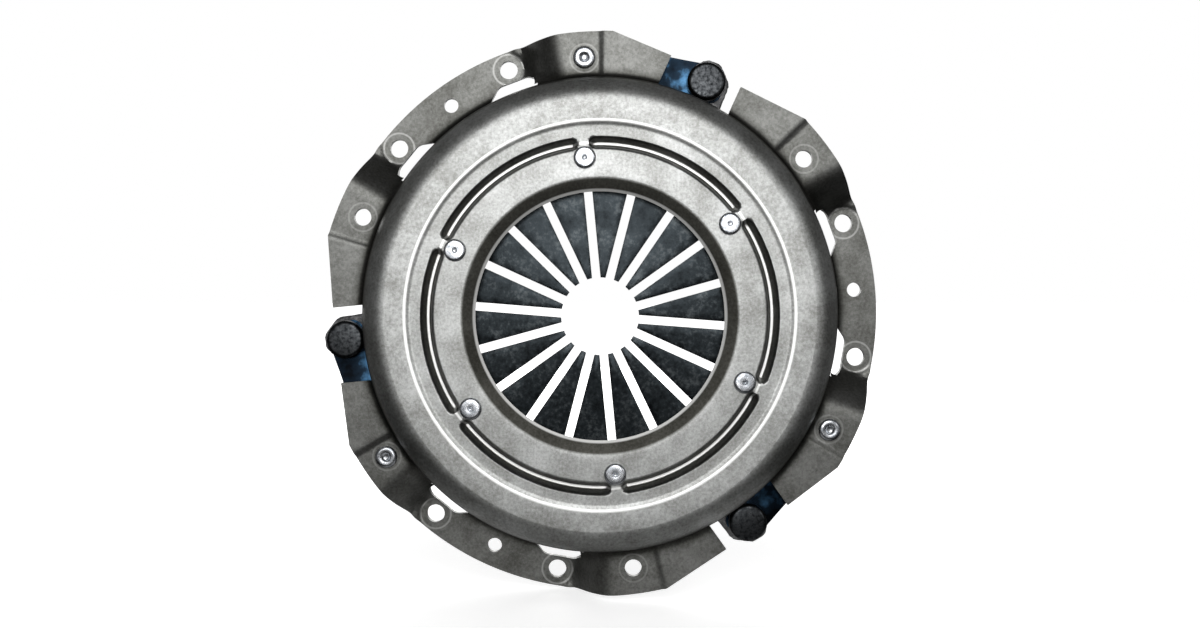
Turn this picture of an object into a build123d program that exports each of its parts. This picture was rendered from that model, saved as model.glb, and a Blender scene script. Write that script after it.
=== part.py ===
from build123d import *
from math import cos, radians, sin, sqrt, tan
import os

os.makedirs("parts", exist_ok=True)

# Heights are measured from the mounting plane toward the gearbox side, in mm, and run along -Y.
# Angles are measured about the axis from the centre of the first mounting pad, in degrees.
pad_turn = 5.5
pad_step = 120.0

# cover sheet
sheet_t = 2.6
pad_half = 18.4
pad_r = 114.5
ear_half = 28.2
ear_h = 19.0
ear_r = 112.5
ear_corner = 38.0
ear_step = 1.0
ear_fold_hole = 37.8
ear_fold_rivet = 35.8
ear_foot_angle = 52.5
ear_foot_r = 106.2
wall_foot_r = 98.2
wall_draft = 0.19
wall_join_h = 26.0
bend_r = 2.2
land_h = 37.4
land_r = 73.4
shoulder_h = 38.0
shoulder_r = 75.0
shoulder_bend = 12.5
lip_r = 48.1
lip_land_r = 53.4
lip_drop = 2.2

# mounting holes
bolt_r = 107.5
bolt_hole = 7.4
bolt_angle = 15.0
dowel_r = 105.75
dowel_hole = 5.9
ear_hole_r = 102.0
ear_hole = 6.8
ear_hole_angle = 32.0

# windows beside the bolts and notches over the lugs
window_angle = 15.0
window_half = 6.4
window_r = 102.3
window_foot_half = 11.5
window_foot_h = 4.0
window_top_half = 6.0
window_top = 17.0
notch_low = -13.2
notch_high = 17.0
notch_top = 27.0

# diaphragm spring
finger_count = 18
spring_t = 2.2
spring_cone = 6.5
pivot_r = 66.7
pivot_h = 28.6
spring_r = 80.5
tip_r = 15.0
slot_w = 3.3
key_r = 61.0
key_hole = 11.6
sector_gap = 0.4
rest_gap = 0.35

# pressed fulcrum arcs of the cover
bead_top_half = 2.5
bead_end_angle = 4.2
bead_low_half = 1.5

# wire ring and fulcrum rivets
wire_d = 3.2
rivet_r = 61.2
rivet_count = 6
rivet_neck = 6.0
rivet_shoulder = 6.6
rivet_head = 16.0
rivet_head_t = 2.3
rivet_cap = 8.6
rivet_cap_t = 1.6
rivet_fit = 0.05

# pressure plate
face_h = 4.0
plate_in_r = 64.7
plate_out_r = 92.4
plate_back_h = 16.0
plate_edge_h = 12.5
ridge_r = 78.5
ridge_half = 2.4
ridge_gaps = 12
ridge_gap_w = 7.0
lug_r = 102.3
lug_tip_r = 111.8
lug_face_h = 5.4
lug_back_h = 14.4
lug_turn = 60.0

# straps and their rivets
strap_turn = 28.0
strap_t = 0.6
strap_w = 15.0
strap_flat = 10.0
strap_end = 6.8
ear_neck = 6.0
ear_head = 12.5
ear_head_t = 2.4
ear_cap = 8.9
ear_cap_t = 1.5
lug_neck = 7.0
lug_head = 15.3
lug_head_t = 5.2
lug_cap = 8.4
lug_cap_t = 0.8

# derived sizes
main_axis = Axis((0, 0, 0), (0, -1, 0))
cone_rise = tan(radians(spring_cone))
spring_half_h = spring_t / 2 / cos(radians(spring_cone))
bead_low_h = pivot_h + spring_t / 2 + rest_gap
wire_h = pivot_h - spring_t / 2 - rest_gap - wire_d / 2
rivet_seat_h = wire_h - wire_d / 2 - 0.02
ridge_h = pivot_h - (ridge_r - pivot_r) * cone_rise - spring_half_h - rest_gap
strap_len = 2 * lug_r * sin(radians(strap_turn / 2))
strap_low_h = ear_h - 2 * strap_t


def radial(angle):
    a = radians(angle)
    return Plane(origin=(0, 0, 0), x_dir=(cos(a), 0, sin(a)), z_dir=(sin(a), 0, -cos(a)))


def level(h):
    return Plane.XZ.offset(h)


def level_at(h, angle):
    a = radians(angle)
    return Plane(origin=(0, -h, 0), x_dir=(cos(a), 0, sin(a)), z_dir=(0, -1, 0))


def across(angle):
    a = radians(angle)
    return Plane(origin=(0, 0, 0), x_dir=(-sin(a), 0, cos(a)), z_dir=(cos(a), 0, sin(a)))


def spot(r, angle):
    return (r * cos(radians(angle)), r * sin(radians(angle)))


def wall_r(h):
    return wall_foot_r - wall_draft * (h - sheet_t)


# dome of the cover with its lip, land and shoulder
lip_low_h = land_h - lip_drop - sheet_t / cos(radians(28.0))
dome_bends = (0.4, 1.6, 0.7, 0.7, shoulder_bend, 0, 0, shoulder_bend - sheet_t, 0.7, 0.7, 1.6, 0.4)
with BuildPart() as dome:
    with BuildSketch(radial(0)):
        with BuildLine():
            FilletPolyline(
                (lip_r, land_h - lip_drop),
                (lip_land_r, land_h),
                (land_r, land_h),
                (shoulder_r, shoulder_h),
                (wall_r(shoulder_h), shoulder_h),
                (wall_r(wall_join_h), wall_join_h),
                (wall_r(wall_join_h) - sheet_t, wall_join_h),
                (wall_r(shoulder_h) - sheet_t, shoulder_h - sheet_t),
                (shoulder_r + 0.6, shoulder_h - sheet_t),
                (land_r + 0.6, land_h - sheet_t),
                (lip_land_r + 0.6, land_h - sheet_t),
                (lip_r, lip_low_h),
                radius=dome_bends,
                close=True,
            )
        make_face()
    revolve(axis=main_axis, revolution_arc=360)

# flange profile of a mounting pad, swept round the pad
with BuildPart() as pad:
    with BuildSketch(radial(-pad_half)):
        with BuildLine():
            FilletPolyline(
                (wall_r(wall_join_h) - sheet_t, wall_join_h),
                (wall_r(0) - sheet_t, 0),
                (pad_r, 0),
                (pad_r, sheet_t),
                (wall_r(sheet_t), sheet_t),
                (wall_r(wall_join_h), wall_join_h),
                radius=(0, bend_r + sheet_t, 0, 0, bend_r, 0),
                close=True,
            )
        make_face()
    revolve(axis=main_axis, revolution_arc=2 * pad_half)

# flange profile of the raised ears: low at the hole and at the rivet, a step higher over the strap
ear_spans = (
    (ear_h, ear_half, ear_fold_hole),
    (ear_h + ear_step, ear_fold_hole, pad_step - ear_fold_rivet),
    (ear_h, pad_step - ear_fold_rivet, pad_step - ear_half),
)
with BuildPart() as ear:
    for low, start, end in ear_spans:
        with BuildSketch(radial(start)):
            with BuildLine():
                FilletPolyline(
                    (wall_r(wall_join_h) - sheet_t, wall_join_h),
                    (wall_r(low) - sheet_t, low),
                    (ear_r, low),
                    (ear_r, low + sheet_t),
                    (wall_r(low + sheet_t), low + sheet_t),
                    (wall_r(wall_join_h), wall_join_h),
                    radius=(0, bend_r + sheet_t, 0, 0, bend_r, 0),
                    close=True,
                )
            make_face()
        revolve(axis=main_axis, revolution_arc=end - start)

# sloping step between a pad and an ear
ramp_angle = (pad_half + ear_half) / 2
ramp_half = (ear_half - pad_half) / 2
ramp_low = 5.0
ramp_high = 2.6
ramp_slope = ramp_low + ramp_high
ramp_lean = sheet_t * (sqrt(ramp_slope ** 2 + ear_h ** 2) - ramp_slope) / ear_h
ramp_bend = 2.6
ramp_crown = 5.0
ramp_start = wall_r(ear_h) - 1.0
with BuildPart() as ramp_strip:
    with BuildSketch(across(ramp_angle).offset(ramp_start)):
        with BuildLine():
            FilletPolyline(
                (-20, 0),
                (-ramp_low, 0),
                (ramp_high, ear_h),
                (20, ear_h),
                (20, ear_h + sheet_t),
                (ramp_high - ramp_lean, ear_h + sheet_t),
                (-ramp_low - ramp_lean, sheet_t),
                (-20, sheet_t),
                radius=(0, ramp_bend + sheet_t, ramp_crown, 0, 0, ramp_crown + sheet_t, ramp_bend, 0),
                close=True,
            )
        make_face()
    extrude(amount=pad_r + 2 - ramp_start)

with BuildPart() as ramp_wall:
    with BuildSketch(radial(pad_half)):
        with BuildLine():
            Polyline(
                (wall_r(wall_join_h) - sheet_t, wall_join_h),
                (wall_r(-5) - sheet_t, -5),
                (wall_r(-5), -5),
                (wall_r(wall_join_h), wall_join_h),
                close=True,
            )
        make_face()
    revolve(axis=main_axis, revolution_arc=2 * ramp_half)
    with BuildSketch(across(ramp_angle).offset(ramp_start - 15)):
        with BuildLine():
            FilletPolyline(
                (-20, 0),
                (-ramp_low, 0),
                (ramp_high, ear_h),
                (20, ear_h),
                (20, -10),
                (-20, -10),
                radius=(0, ramp_bend + sheet_t, ramp_crown, 0, 0, 0),
                close=True,
            )
        make_face()
    extrude(amount=30, mode=Mode.SUBTRACT)

with BuildPart() as ramp:
    add(ramp_strip.part)
    add(ramp_wall.part)
    with BuildSketch(level(-10)):
        with BuildLine():
            Polyline(
                spot(wall_r(wall_join_h) - 10, pad_half),
                spot(pad_r, pad_half),
                spot(0.4 * pad_r + 0.6 * ear_r, ramp_angle - 0.4 * ramp_half),
                spot(ear_r, ear_half),
                spot(wall_r(wall_join_h) - 10, ear_half),
                close=True,
            )
        make_face()
    extrude(amount=wall_join_h + 20, mode=Mode.INTERSECT)
    with BuildSketch(level(-10)):
        Circle(wall_r(wall_join_h) - sheet_t + 0.02)
    extrude(amount=wall_join_h + 20, mode=Mode.SUBTRACT)

ramp_mirror = ramp.part.mirror(Plane.XY)

notch_r = wall_r(notch_top) - sheet_t - 3.0
window_foot_top = window_foot_h + 3.0
window_foot_r = wall_r(window_foot_h) - sheet_t - 1.0
window_corner_r = wall_r(window_foot_top) + 0.2

# one third of the wall and flange
with BuildPart() as third:
    add(pad.part)
    add(ramp.part)
    add(ramp_mirror)
    add(ear.part)
    # slanted edges that run from the ear's corner to the notch over the lug
    with BuildSketch(level(0)):
        with BuildLine():
            Polyline(
                spot(ear_r + 0.01, ear_corner),
                spot(ear_foot_r, ear_foot_angle),
                spot(ear_foot_r, pad_step - ear_foot_angle),
                spot(ear_r + 0.01, pad_step - ear_corner),
                spot(ear_r + 20, pad_step - ear_corner),
                spot(ear_r + 40, pad_step / 2),
                spot(ear_r + 20, ear_corner),
                close=True,
            )
        make_face()
    extrude(amount=wall_join_h + 10, mode=Mode.SUBTRACT)
    # notch that lets the lug's rivet head through
    with BuildSketch(level(ear_h - 8)):
        with Locations(Rot(0, 0, pad_step / 2)):
            with Locations(((ear_r + 10 + notch_r) / 2, (notch_low + notch_high) / 2)):
                Rectangle(ear_r + 10 - notch_r, notch_high - notch_low)
    extrude(amount=notch_top - ear_h + 8, mode=Mode.SUBTRACT)

# all three thirds with the dome
with BuildPart() as cover:
    for k in range(3):
        add(third.part.rotate(main_axis, pad_turn + k * pad_step))
    add(dome.part)
    # bolt, dowel and ear holes
    for k in range(3):
        turn = pad_turn + k * pad_step
        with BuildSketch(level(-5)):
            with Locations(spot(bolt_r, turn - bolt_angle), spot(bolt_r, turn + bolt_angle)):
                Circle(bolt_hole / 2)
            with Locations(spot(dowel_r, turn)):
                Circle(dowel_hole / 2)
            with Locations(spot(ear_hole_r, turn + ear_hole_angle)):
                Circle(ear_hole / 2)
            with Locations(spot(lug_r, turn + lug_turn + strap_turn)):
                Circle(ear_neck / 2 + rivet_fit)
        extrude(amount=ear_h + 12, mode=Mode.SUBTRACT)
        # windows beside the bolts: one cut through the flange, one through the wall
        for side in (-1, 1):
            angle = turn + side * window_angle
            with BuildSketch(level_at(-5, angle)):
                with BuildLine():
                    FilletPolyline(
                        (window_foot_r, -window_foot_half),
                        (window_corner_r, -window_foot_half),
                        (window_r, -window_half),
                        (window_r, window_half),
                        (window_corner_r, window_foot_half),
                        (window_foot_r, window_foot_half),
                        radius=(0, 1.5, 3.0, 3.0, 1.5, 0),
                        close=True,
                    )
                make_face()
            extrude(amount=5 + window_foot_top, mode=Mode.SUBTRACT)
            with BuildSketch(across(angle).offset(notch_r)):
                with BuildLine():
                    FilletPolyline(
                        (-window_foot_half, -5),
                        (-window_foot_half, window_foot_h),
                        (-window_top_half, window_top),
                        (window_top_half, window_top),
                        (window_foot_half, window_foot_h),
                        (window_foot_half, -5),
                        radius=(0, 3.0, 4.0, 4.0, 3.0, 0),
                        close=True,
                    )
                make_face()
            extrude(amount=window_corner_r - notch_r, mode=Mode.SUBTRACT)
    # pressed arcs that stop short of every rivet: the bead below, then the groove above
    bead_wide = bead_top_half + 1.2
    bead_depth = land_h - sheet_t + 0.3 - bead_low_h
    groove_low_h = bead_low_h + sheet_t * 0.9
    groove_wide = bead_top_half + 0.3
    from_bottom = (Align.CENTER, Align.CENTER, Align.MIN)
    for k in range(rivet_count):
        start = pad_turn + 30 + k * 60 + bead_end_angle
        arc = 60 - 2 * bead_end_angle
        with BuildSketch(radial(start)):
            with BuildLine():
                FilletPolyline(
                    (pivot_r - bead_wide, land_h - sheet_t + 0.3),
                    (pivot_r - bead_low_half, bead_low_h),
                    (pivot_r + bead_low_half, bead_low_h),
                    (pivot_r + bead_wide, land_h - sheet_t + 0.3),
                    radius=(0, 1.2, 1.2, 0),
                    close=True,
                )
            make_face()
        revolve(axis=main_axis, revolution_arc=arc)
        for end in (start, start + arc):
            with Locations(radial(end) * Pos(pivot_r, bead_low_h, 0) * Rot(-90, 0, 0)):
                Cone(bead_low_half, bead_wide, bead_depth, align=from_bottom)
        with BuildSketch(radial(start)):
            with BuildLine():
                FilletPolyline(
                    (pivot_r - groove_wide, land_h + 0.5),
                    (pivot_r - 0.7, groove_low_h),
                    (pivot_r + 0.7, groove_low_h),
                    (pivot_r + groove_wide, land_h + 0.5),
                    radius=(0, 0.6, 0.6, 0),
                    close=True,
                )
            make_face()
        revolve(axis=main_axis, revolution_arc=arc, mode=Mode.SUBTRACT)
        for end in (start, start + arc):
            with Locations(radial(end) * Pos(pivot_r, groove_low_h, 0) * Rot(-90, 0, 0)):
                Cone(0.7, groove_wide, land_h + 0.5 - groove_low_h, align=from_bottom, mode=Mode.SUBTRACT)
    # holes for the fulcrum rivets
    with BuildSketch(level(land_h - sheet_t - 5)):
        with PolarLocations(rivet_r, rivet_count, start_angle=pad_turn + 30):
            Circle(rivet_neck / 2 + rivet_fit)
    extrude(amount=sheet_t + 10, mode=Mode.SUBTRACT)
cover.part.label = "cover"
export_step(cover.part, "parts/cover.step")

# pressure plate: ring with its face, back slope and fulcrum ridge
with BuildPart() as plate:
    with BuildSketch(radial(0)):
        with BuildLine():
            Polyline(
                (plate_in_r + 0.8, face_h),
                (plate_out_r - 0.8, face_h),
                (plate_out_r, face_h + 0.8),
                (plate_out_r, plate_edge_h),
                (plate_out_r - 5.5, plate_back_h),
                (plate_in_r + 3.0, plate_back_h),
                (plate_in_r, plate_back_h - 2.0),
                (plate_in_r, face_h + 0.8),
                close=True,
            )
        make_face()
    revolve(axis=main_axis, revolution_arc=360)
    # fulcrum ridge, parted by air gaps
    with BuildSketch(radial(0)):
        with BuildLine():
            FilletPolyline(
                (ridge_r - ridge_half - 1.2, plate_back_h - 0.5),
                (ridge_r - ridge_half * 0.6, ridge_h),
                (ridge_r + ridge_half * 0.6, ridge_h),
                (ridge_r + ridge_half + 1.2, plate_back_h - 0.5),
                radius=(0, 1.2, 1.2, 0),
                close=True,
            )
        make_face()
    revolve(axis=main_axis, revolution_arc=360)
    with BuildSketch(level(plate_back_h)):
        with PolarLocations(ridge_r, ridge_gaps, start_angle=pad_turn + 15):
            Rectangle(ridge_half * 2 + 6, ridge_gap_w)
    extrude(amount=ridge_h, mode=Mode.SUBTRACT)
    # three lugs, each with a slanted flank on the strap's side
    for k in range(3):
        with BuildSketch(level_at(lug_face_h, pad_turn + lug_turn + k * pad_step)):
            with BuildLine():
                FilletPolyline(
                    (plate_out_r - 9, -10.5),
                    (lug_r + 3.5, -9.2),
                    (lug_tip_r, -2.6),
                    (lug_tip_r, 3.0),
                    (lug_r + 3.2, 9.4),
                    (plate_out_r + 2.5, 16.5),
                    (plate_out_r - 9, 24.0),
                    radius=(0, 2.5, 2.0, 2.0, 2.5, 4, 0),
                    close=True,
                )
            make_face()
        extrude(amount=lug_back_h - lug_face_h)
        with BuildSketch(level(0)):
            with Locations(spot(lug_r, pad_turn + lug_turn + k * pad_step)):
                Circle(lug_neck / 2 + rivet_fit)
        extrude(amount=lug_back_h + 5, mode=Mode.SUBTRACT)
plate.part.label = "pressure_plate"
export_step(plate.part, "parts/pressure_plate.step")

# one finger of the diaphragm spring with its share of the outer band
half_turn = 180.0 / finger_count
with BuildPart() as finger:
    with BuildSketch(radial(-half_turn)):
        with BuildLine():
            Polyline(
                (spring_r, pivot_h - (spring_r - pivot_r) * cone_rise - spring_half_h),
                (spring_r, pivot_h - (spring_r - pivot_r) * cone_rise + spring_half_h),
                (tip_r, pivot_h + (pivot_r - tip_r) * cone_rise + spring_half_h),
                (tip_r, pivot_h + (pivot_r - tip_r) * cone_rise - spring_half_h),
                close=True,
            )
        make_face()
    revolve(axis=main_axis, revolution_arc=2 * half_turn)
    # slots on both sides, their round keyholes, and the parting lines of the band
    side_reach = spring_r + 5
    with BuildSketch(level(0)):
        for side in (-1, 1):
            with Locations(Rot(0, 0, side * half_turn)):
                with Locations((key_r / 2, 0)):
                    Rectangle(key_r, slot_w)
                with Locations((key_r, 0)):
                    RectangleRounded(key_hole, key_hole, key_hole * 0.42)
                with Locations((side_reach / 2, 0)):
                    Rectangle(side_reach, sector_gap)
    extrude(amount=land_h + 5, mode=Mode.SUBTRACT)

for k in range(finger_count):
    piece = finger.part.rotate(main_axis, pad_turn + k * 2 * half_turn)
    piece.label = "spring_finger_" + str(k + 1).zfill(2)
    export_step(piece, "parts/" + piece.label + ".step")

# wire ring under the spring
with BuildPart() as wire_ring:
    with BuildSketch(radial(0)):
        with Locations((pivot_r, wire_h)):
            Circle(wire_d / 2)
    revolve(axis=main_axis, revolution_arc=360)
wire_ring.part.label = "fulcrum_ring"
export_step(wire_ring.part, "parts/fulcrum_ring.step")

# shouldered rivet that carries the wire ring and the spring
with BuildPart() as fulcrum_rivet:
    with BuildSketch(Plane.XY):
        with BuildLine():
            Polyline(
                (0, rivet_seat_h - rivet_head_t + 0.5),
                (rivet_head * 0.34, rivet_seat_h - rivet_head_t + 0.5),
                (rivet_head * 0.34 + 0.5, rivet_seat_h - rivet_head_t),
                (rivet_head / 2 - 0.6, rivet_seat_h - rivet_head_t),
                (rivet_head / 2, rivet_seat_h - rivet_head_t + 0.6),
                (rivet_head / 2, rivet_seat_h),
                (rivet_shoulder / 2, rivet_seat_h),
                (rivet_shoulder / 2, land_h - sheet_t),
                (rivet_neck / 2, land_h - sheet_t),
                (rivet_neck / 2, land_h),
                (rivet_cap / 2, land_h),
                (rivet_cap / 2, land_h + rivet_cap_t - 0.5),
                (rivet_cap / 2 - 0.5, land_h + rivet_cap_t),
                (0.7, land_h + rivet_cap_t),
                (0.2, land_h + rivet_cap_t - 0.5),
                (0, land_h + rivet_cap_t - 0.5),
                close=True,
            )
        make_face()
    revolve(axis=Axis.Y, revolution_arc=360)

for k in range(rivet_count):
    x, z = spot(rivet_r, pad_turn + 30 + k * 60)
    piece = Pos(x, 0, z) * fulcrum_rivet.part.mirror(Plane.XZ)
    piece.label = "fulcrum_rivet_" + str(k + 1)
    export_step(piece, "parts/" + piece.label + ".step")

# strap leaves, laid out along +X from the lug rivet to the ear rivet
leaf_heights = (lug_back_h, lug_back_h + strap_t)
leaf_names = ("inner", "outer")
strap_leaves = []
for low in leaf_heights:
    rise = strap_low_h - lug_back_h
    with BuildPart() as leaf:
        with BuildSketch(Plane.XY.offset(-strap_w / 2)):
            with BuildLine():
                Polyline(
                    (-strap_end, low),
                    (strap_flat, low),
                    (strap_len - strap_flat, low + rise),
                    (strap_len + strap_end, low + rise),
                    (strap_len + strap_end, low + rise + strap_t),
                    (strap_len - strap_flat, low + rise + strap_t),
                    (strap_flat, low + strap_t),
                    (-strap_end, low + strap_t),
                    close=True,
                )
            make_face()
        extrude(amount=strap_w)
        with BuildSketch(level(0)):
            with Locations((strap_len / 2, 0)):
                RectangleRounded(strap_len + 2 * strap_end, strap_w, 4.0)
            Circle(lug_neck / 2 + rivet_fit, mode=Mode.SUBTRACT)
            with Locations((strap_len, 0)):
                Circle(ear_neck / 2 + rivet_fit, mode=Mode.SUBTRACT)
        extrude(amount=ear_h * 2, both=True, mode=Mode.INTERSECT)
    strap_leaves.append(leaf.part)


def along_strap(part, turn):
    x, z = spot(lug_r, turn)
    return Pos(x, 0, z) * part.mirror(Plane.XZ).rotate(main_axis, turn + 90 + strap_turn / 2)


for k in range(3):
    turn = pad_turn + lug_turn + k * pad_step
    for name, part in zip(leaf_names, strap_leaves):
        piece = along_strap(part, turn)
        piece.label = "strap_" + str(k + 1) + "_" + name + "_leaf"
        export_step(piece, "parts/" + piece.label + ".step")

# rivet between strap and ear
with BuildPart() as ear_rivet:
    with BuildSketch(Plane.XY):
        with BuildLine():
            Polyline(
                (0, strap_low_h - ear_head_t + 0.5),
                (2.4, strap_low_h - ear_head_t + 0.5),
                (3.4, strap_low_h - ear_head_t),
                (ear_head / 2 - 1.2, strap_low_h - ear_head_t + 0.3),
                (ear_head / 2, strap_low_h - 0.6),
                (ear_head / 2, strap_low_h),
                (ear_neck / 2, strap_low_h),
                (ear_neck / 2, ear_h + sheet_t),
                (ear_cap / 2, ear_h + sheet_t),
                (ear_cap / 2, ear_h + sheet_t + ear_cap_t - 0.6),
                (ear_cap / 2 - 0.6, ear_h + sheet_t + ear_cap_t),
                (1.9, ear_h + sheet_t + ear_cap_t),
                (1.2, ear_h + sheet_t + ear_cap_t - 0.8),
                (0, ear_h + sheet_t + ear_cap_t - 0.8),
                close=True,
            )
        make_face()
    revolve(axis=Axis.Y, revolution_arc=360)

# large-headed rivet between strap and lug
strap_top_h = lug_back_h + 2 * strap_t
with BuildPart() as lug_rivet:
    with BuildSketch(Plane.XY):
        with BuildLine():
            Polyline(
                (0, lug_face_h - lug_cap_t + 0.6),
                (1.6, lug_face_h - lug_cap_t + 0.6),
                (2.2, lug_face_h - lug_cap_t),
                (lug_cap / 2 - 0.3, lug_face_h - lug_cap_t),
                (lug_cap / 2, lug_face_h - lug_cap_t + 0.3),
                (lug_cap / 2, lug_face_h),
                (lug_neck / 2, lug_face_h),
                (lug_neck / 2, strap_top_h),
                (lug_head / 2, strap_top_h),
                (lug_head / 2, strap_top_h + lug_head_t - 1.0),
                (lug_head / 2 - 1.0, strap_top_h + lug_head_t),
                (0, strap_top_h + lug_head_t),
                close=True,
            )
        make_face()
    revolve(axis=Axis.Y, revolution_arc=360)

for k in range(3):
    turn = pad_turn + lug_turn + k * pad_step
    x, z = spot(lug_r, turn + strap_turn)
    piece = Pos(x, 0, z) * ear_rivet.part.mirror(Plane.XZ)
    piece.label = "ear_rivet_" + str(k + 1)
    export_step(piece, "parts/" + piece.label + ".step")
    x, z = spot(lug_r, turn)
    piece = Pos(x, 0, z) * lug_rivet.part.mirror(Plane.XZ)
    piece.label = "lug_rivet_" + str(k + 1)
    export_step(piece, "parts/" + piece.label + ".step")
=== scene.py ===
import bpy
import bmesh
from math import atan2, cos, degrees, hypot, pi, radians, sin
from mathutils import Matrix, Vector, noise


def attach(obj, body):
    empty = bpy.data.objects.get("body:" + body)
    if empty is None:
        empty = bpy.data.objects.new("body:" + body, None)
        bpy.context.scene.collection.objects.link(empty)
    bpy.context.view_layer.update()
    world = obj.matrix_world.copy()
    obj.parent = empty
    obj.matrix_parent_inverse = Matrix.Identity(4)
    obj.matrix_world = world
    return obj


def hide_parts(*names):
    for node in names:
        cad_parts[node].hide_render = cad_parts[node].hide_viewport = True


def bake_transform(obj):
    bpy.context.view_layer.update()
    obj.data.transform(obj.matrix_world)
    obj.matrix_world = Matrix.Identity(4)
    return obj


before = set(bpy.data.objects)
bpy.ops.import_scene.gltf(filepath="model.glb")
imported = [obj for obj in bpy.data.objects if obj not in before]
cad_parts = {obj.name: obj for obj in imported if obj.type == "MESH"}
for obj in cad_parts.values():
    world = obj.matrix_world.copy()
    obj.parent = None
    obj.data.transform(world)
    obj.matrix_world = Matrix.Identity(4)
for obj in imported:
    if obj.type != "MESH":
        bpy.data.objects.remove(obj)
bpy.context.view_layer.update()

mm = 0.001

# the layout that every piece shares, in mm and degrees, as on the drawing
layout = dict(padTurn=5.5, padStep=120.0, lugTurn=60.0, strapTurn=28.0, strapR=102.3,
              boltR=107.5, boltAngle=15.0, earHoleR=102.0, earHoleAngle=32.0,
              rivetTurn=30.0, rivetStep=60.0, rivetR=61.2)


def toRow(r, angle, h):
    # a point at radius r, angle round the axis and height h above the mounting plane
    return Vector((r * cos(radians(angle)), -h, r * sin(radians(angle)))) * mm


def smoothBelow(mesh, angle):
    mesh.shade_smooth()
    mesh.set_sharp_from_angle(angle=radians(angle))


def newObject(name, bm, smoothAngle=None):
    mesh = bpy.data.meshes.new(name)
    bm.to_mesh(mesh)
    bm.free()
    obj = bpy.data.objects.new(name, mesh)
    bpy.context.scene.collection.objects.link(obj)
    if smoothAngle is not None:
        smoothBelow(mesh, smoothAngle)
    return obj


def settled(obj):
    # the same object with its modifiers made real
    graph = bpy.context.evaluated_depsgraph_get()
    mesh = bpy.data.meshes.new_from_object(obj.evaluated_get(graph))
    old = obj.data
    obj.modifiers.clear()
    obj.data = mesh
    bpy.data.meshes.remove(old)
    return obj


def cutAway(obj, bm, crossing=False):
    # takes the shapes in bm out of the object; crossing is for shapes that run into each other
    cutter = newObject("cutter", bm)
    cut = obj.modifiers.new("cut", "BOOLEAN")
    cut.operation = "DIFFERENCE"
    cut.object = cutter
    cut.solver = "EXACT"
    cut.use_self = crossing
    settled(obj)
    bpy.data.objects.remove(cutter)
    return obj


def profileLine(corners, closed=False):
    # corners are (radius, height, rounding, cuts to the next corner); a rounding bends the line there
    bm = bmesh.new()
    mark = bm.verts.layers.int.new("corner")
    last = None
    for k, (r, h, rounding, cuts) in enumerate(corners):
        if last:
            r0, h0, cuts0 = last
            for c in range(cuts0):
                share = (c + 1) / (cuts0 + 1)
                bm.verts.new(((r0 + (r - r0) * share) * mm, -(h0 + (h - h0) * share) * mm, 0))
        corner = bm.verts.new((r * mm, -h * mm, 0))
        corner[mark] = k + 1
        last = (r, h, cuts)
    bm.verts.ensure_lookup_table()
    for k in range(len(bm.verts) - 1):
        bm.edges.new((bm.verts[k], bm.verts[k + 1]))
    if closed:
        bm.edges.new((bm.verts[-1], bm.verts[0]))
    for k, (r, h, rounding, cuts) in enumerate(corners):
        if rounding:
            corner = [v for v in bm.verts if v[mark] == k + 1]
            steps = 9 if rounding > 4 else 4  # a wide bend needs more
            bmesh.ops.bevel(bm, geom=corner, affect="VERTICES", offset=rounding * mm, segments=steps,
                            profile=0.5, material=-1)
    return bm


def spinRound(bm, steps):
    bmesh.ops.spin(bm, geom=bm.verts[:] + bm.edges[:], cent=(0, 0, 0), axis=(0, -1, 0), dvec=(0, 0, 0),
                   angle=2 * pi, steps=steps, use_merge=True, use_normal_flip=False, use_duplicate=False)
    bmesh.ops.remove_doubles(bm, verts=bm.verts, dist=1e-6)
    bmesh.ops.recalc_face_normals(bm, faces=bm.faces)


def onlyVerts(geom):
    return [g for g in geom if isinstance(g, bmesh.types.BMVert)]


def turnAboutAxis(bm, angle, verts):
    bmesh.ops.rotate(bm, cent=(0, 0, 0), matrix=Matrix.Rotation(-radians(angle), 3, "Y"), verts=verts)


def hexColor(code, alpha=1.0):
    # sRGB hex to linear
    parts = [int(code[i:i + 2], 16) / 255 for i in (1, 3, 5)]
    return tuple(c / 12.92 if c <= 0.04045 else ((c + 0.055) / 1.055) ** 2.4 for c in parts) + (alpha,)


def addNode(tree, kind, inputs=None, stops=(), **settings):
    # inputs are sockets to link or values to set; stops are a colour ramp's places and hex colours
    node = tree.nodes.new(kind)
    for key, value in settings.items():
        setattr(node, key, value)
    for key, value in (inputs or {}).items():
        if isinstance(value, bpy.types.NodeSocket):
            tree.links.new(value, node.inputs[key])
        else:
            node.inputs[key].default_value = value
    if stops:
        elements = node.color_ramp.elements
        while len(elements) < len(stops):
            elements.new(0.5)
        for element, (position, code) in zip(elements, stops):
            element.position = position
            element.color = hexColor(code)
    return node


def newMaterial(name, metallic, roughness):
    material = bpy.data.materials.new(name)
    material.use_nodes = True
    tree = material.node_tree
    shader = tree.nodes["Principled BSDF"]
    shader.inputs["Metallic"].default_value = metallic
    shader.inputs["Roughness"].default_value = roughness
    return material, tree, shader


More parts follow.
